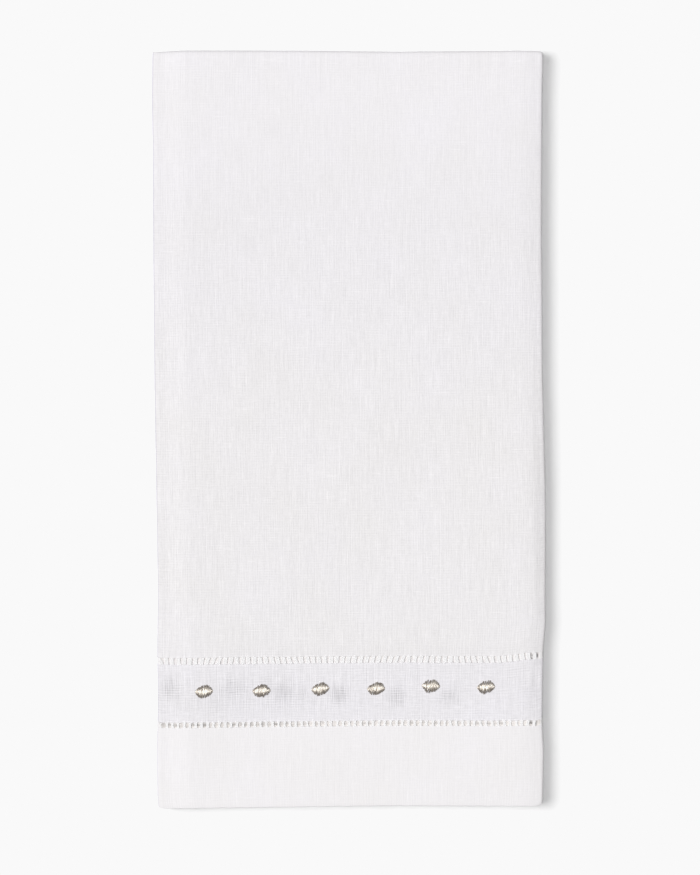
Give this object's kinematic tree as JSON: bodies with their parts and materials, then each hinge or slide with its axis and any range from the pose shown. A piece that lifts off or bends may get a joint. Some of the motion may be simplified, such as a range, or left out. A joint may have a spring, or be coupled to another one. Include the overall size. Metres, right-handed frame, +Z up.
{
  "type": "hand towel",
  "caption": "Fine white linen hand towel, folded flat into an upright rectangle, with hemstitched rows and small satin-stitched ovals near its hemmed end.",
  "frame": {"origin": "middle of the folded towel's flat underside", "axes": "+X to the right across the front panel, +Y from the hemmed end up to the half fold, +Z up out of the front panel"},
  "size_m": [0.1318, 0.2536, 0.0089],
  "materials": {
    "linen": "matt, fine uneven plain weave",
    "thread": "lustrous satin stitch"
  },
  "bodies": {
    "root": {"towel_cloth": "linen", "satin_oval_1": "thread", "satin_oval_2": "thread", "satin_oval_3": "thread", "satin_oval_4": "thread", "satin_oval_5": "thread", "satin_oval_6": "thread"}
  },
  "joints": []
}
